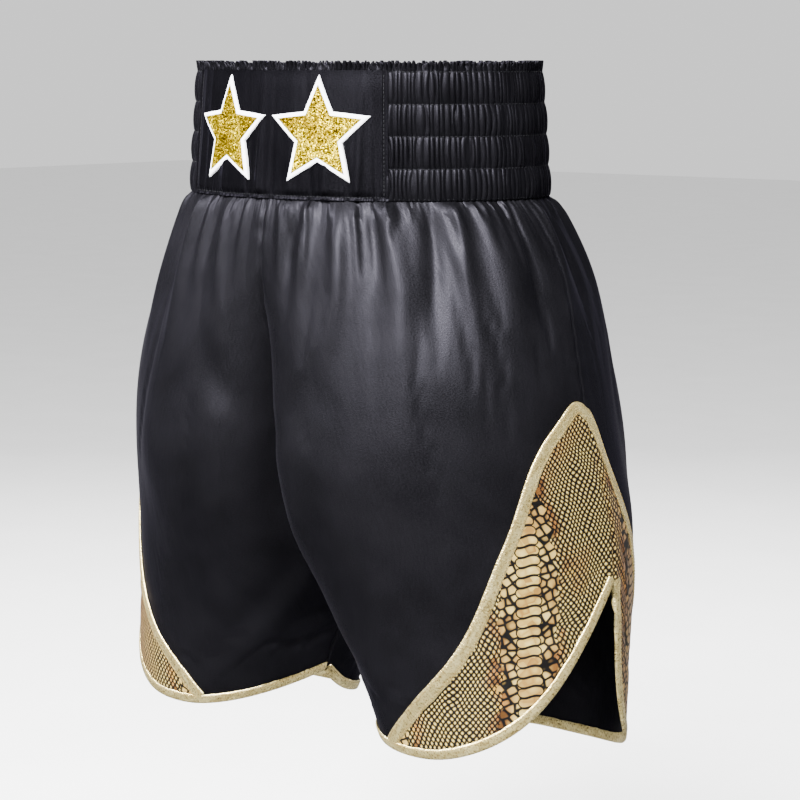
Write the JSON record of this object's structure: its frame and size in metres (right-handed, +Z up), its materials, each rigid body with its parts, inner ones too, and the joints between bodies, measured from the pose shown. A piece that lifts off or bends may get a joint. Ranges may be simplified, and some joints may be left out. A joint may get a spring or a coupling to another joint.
{
  "type": "boxing shorts",
  "caption": "Boxing shorts with a tall shirred elastic waistband, split sides, bound snakeskin side trims and two star emblems.",
  "frame": {"origin": "centre of the waist opening at the top edge of the waistband", "axes": "+Z up out of the waist opening, front of the shorts faces -Y, the wearer's left side is +X"},
  "size_m": [0.4394, 0.2765, 0.5062],
  "materials": {
    "satin": "black polyester satin",
    "lining": "black satin, inner side",
    "elastic": "black woven elastic",
    "snakeskin": "gold and black snakeskin print",
    "gold_binding": "pale gold foil tape",
    "felt": "white felt",
    "glitter": "gold glitter"
  },
  "bodies": {
    "root": {"waistband_outer": "satin", "waistband_front_panel": "satin", "waistband_lining": "lining", "elastic_band_1": "elastic", "elastic_band_2": "elastic", "elastic_band_3": "elastic", "elastic_band_4": "elastic", "star_left_felt": "felt", "star_left_glitter": "glitter", "satin_front_left": "satin", "snakeskin_trim_front_left": "snakeskin", "hem_binding_front_left": "gold_binding", "satin_back_left": "satin", "snakeskin_trim_back_left": "snakeskin", "hem_binding_back_left": "gold_binding", "trim_binding_left": "gold_binding", "star_right_felt": "felt", "star_right_glitter": "glitter", "satin_front_right": "satin", "snakeskin_trim_front_right": "snakeskin", "hem_binding_front_right": "gold_binding", "satin_back_right": "satin", "snakeskin_trim_back_right": "snakeskin", "hem_binding_back_right": "gold_binding", "trim_binding_right": "gold_binding"}
  },
  "joints": []
}
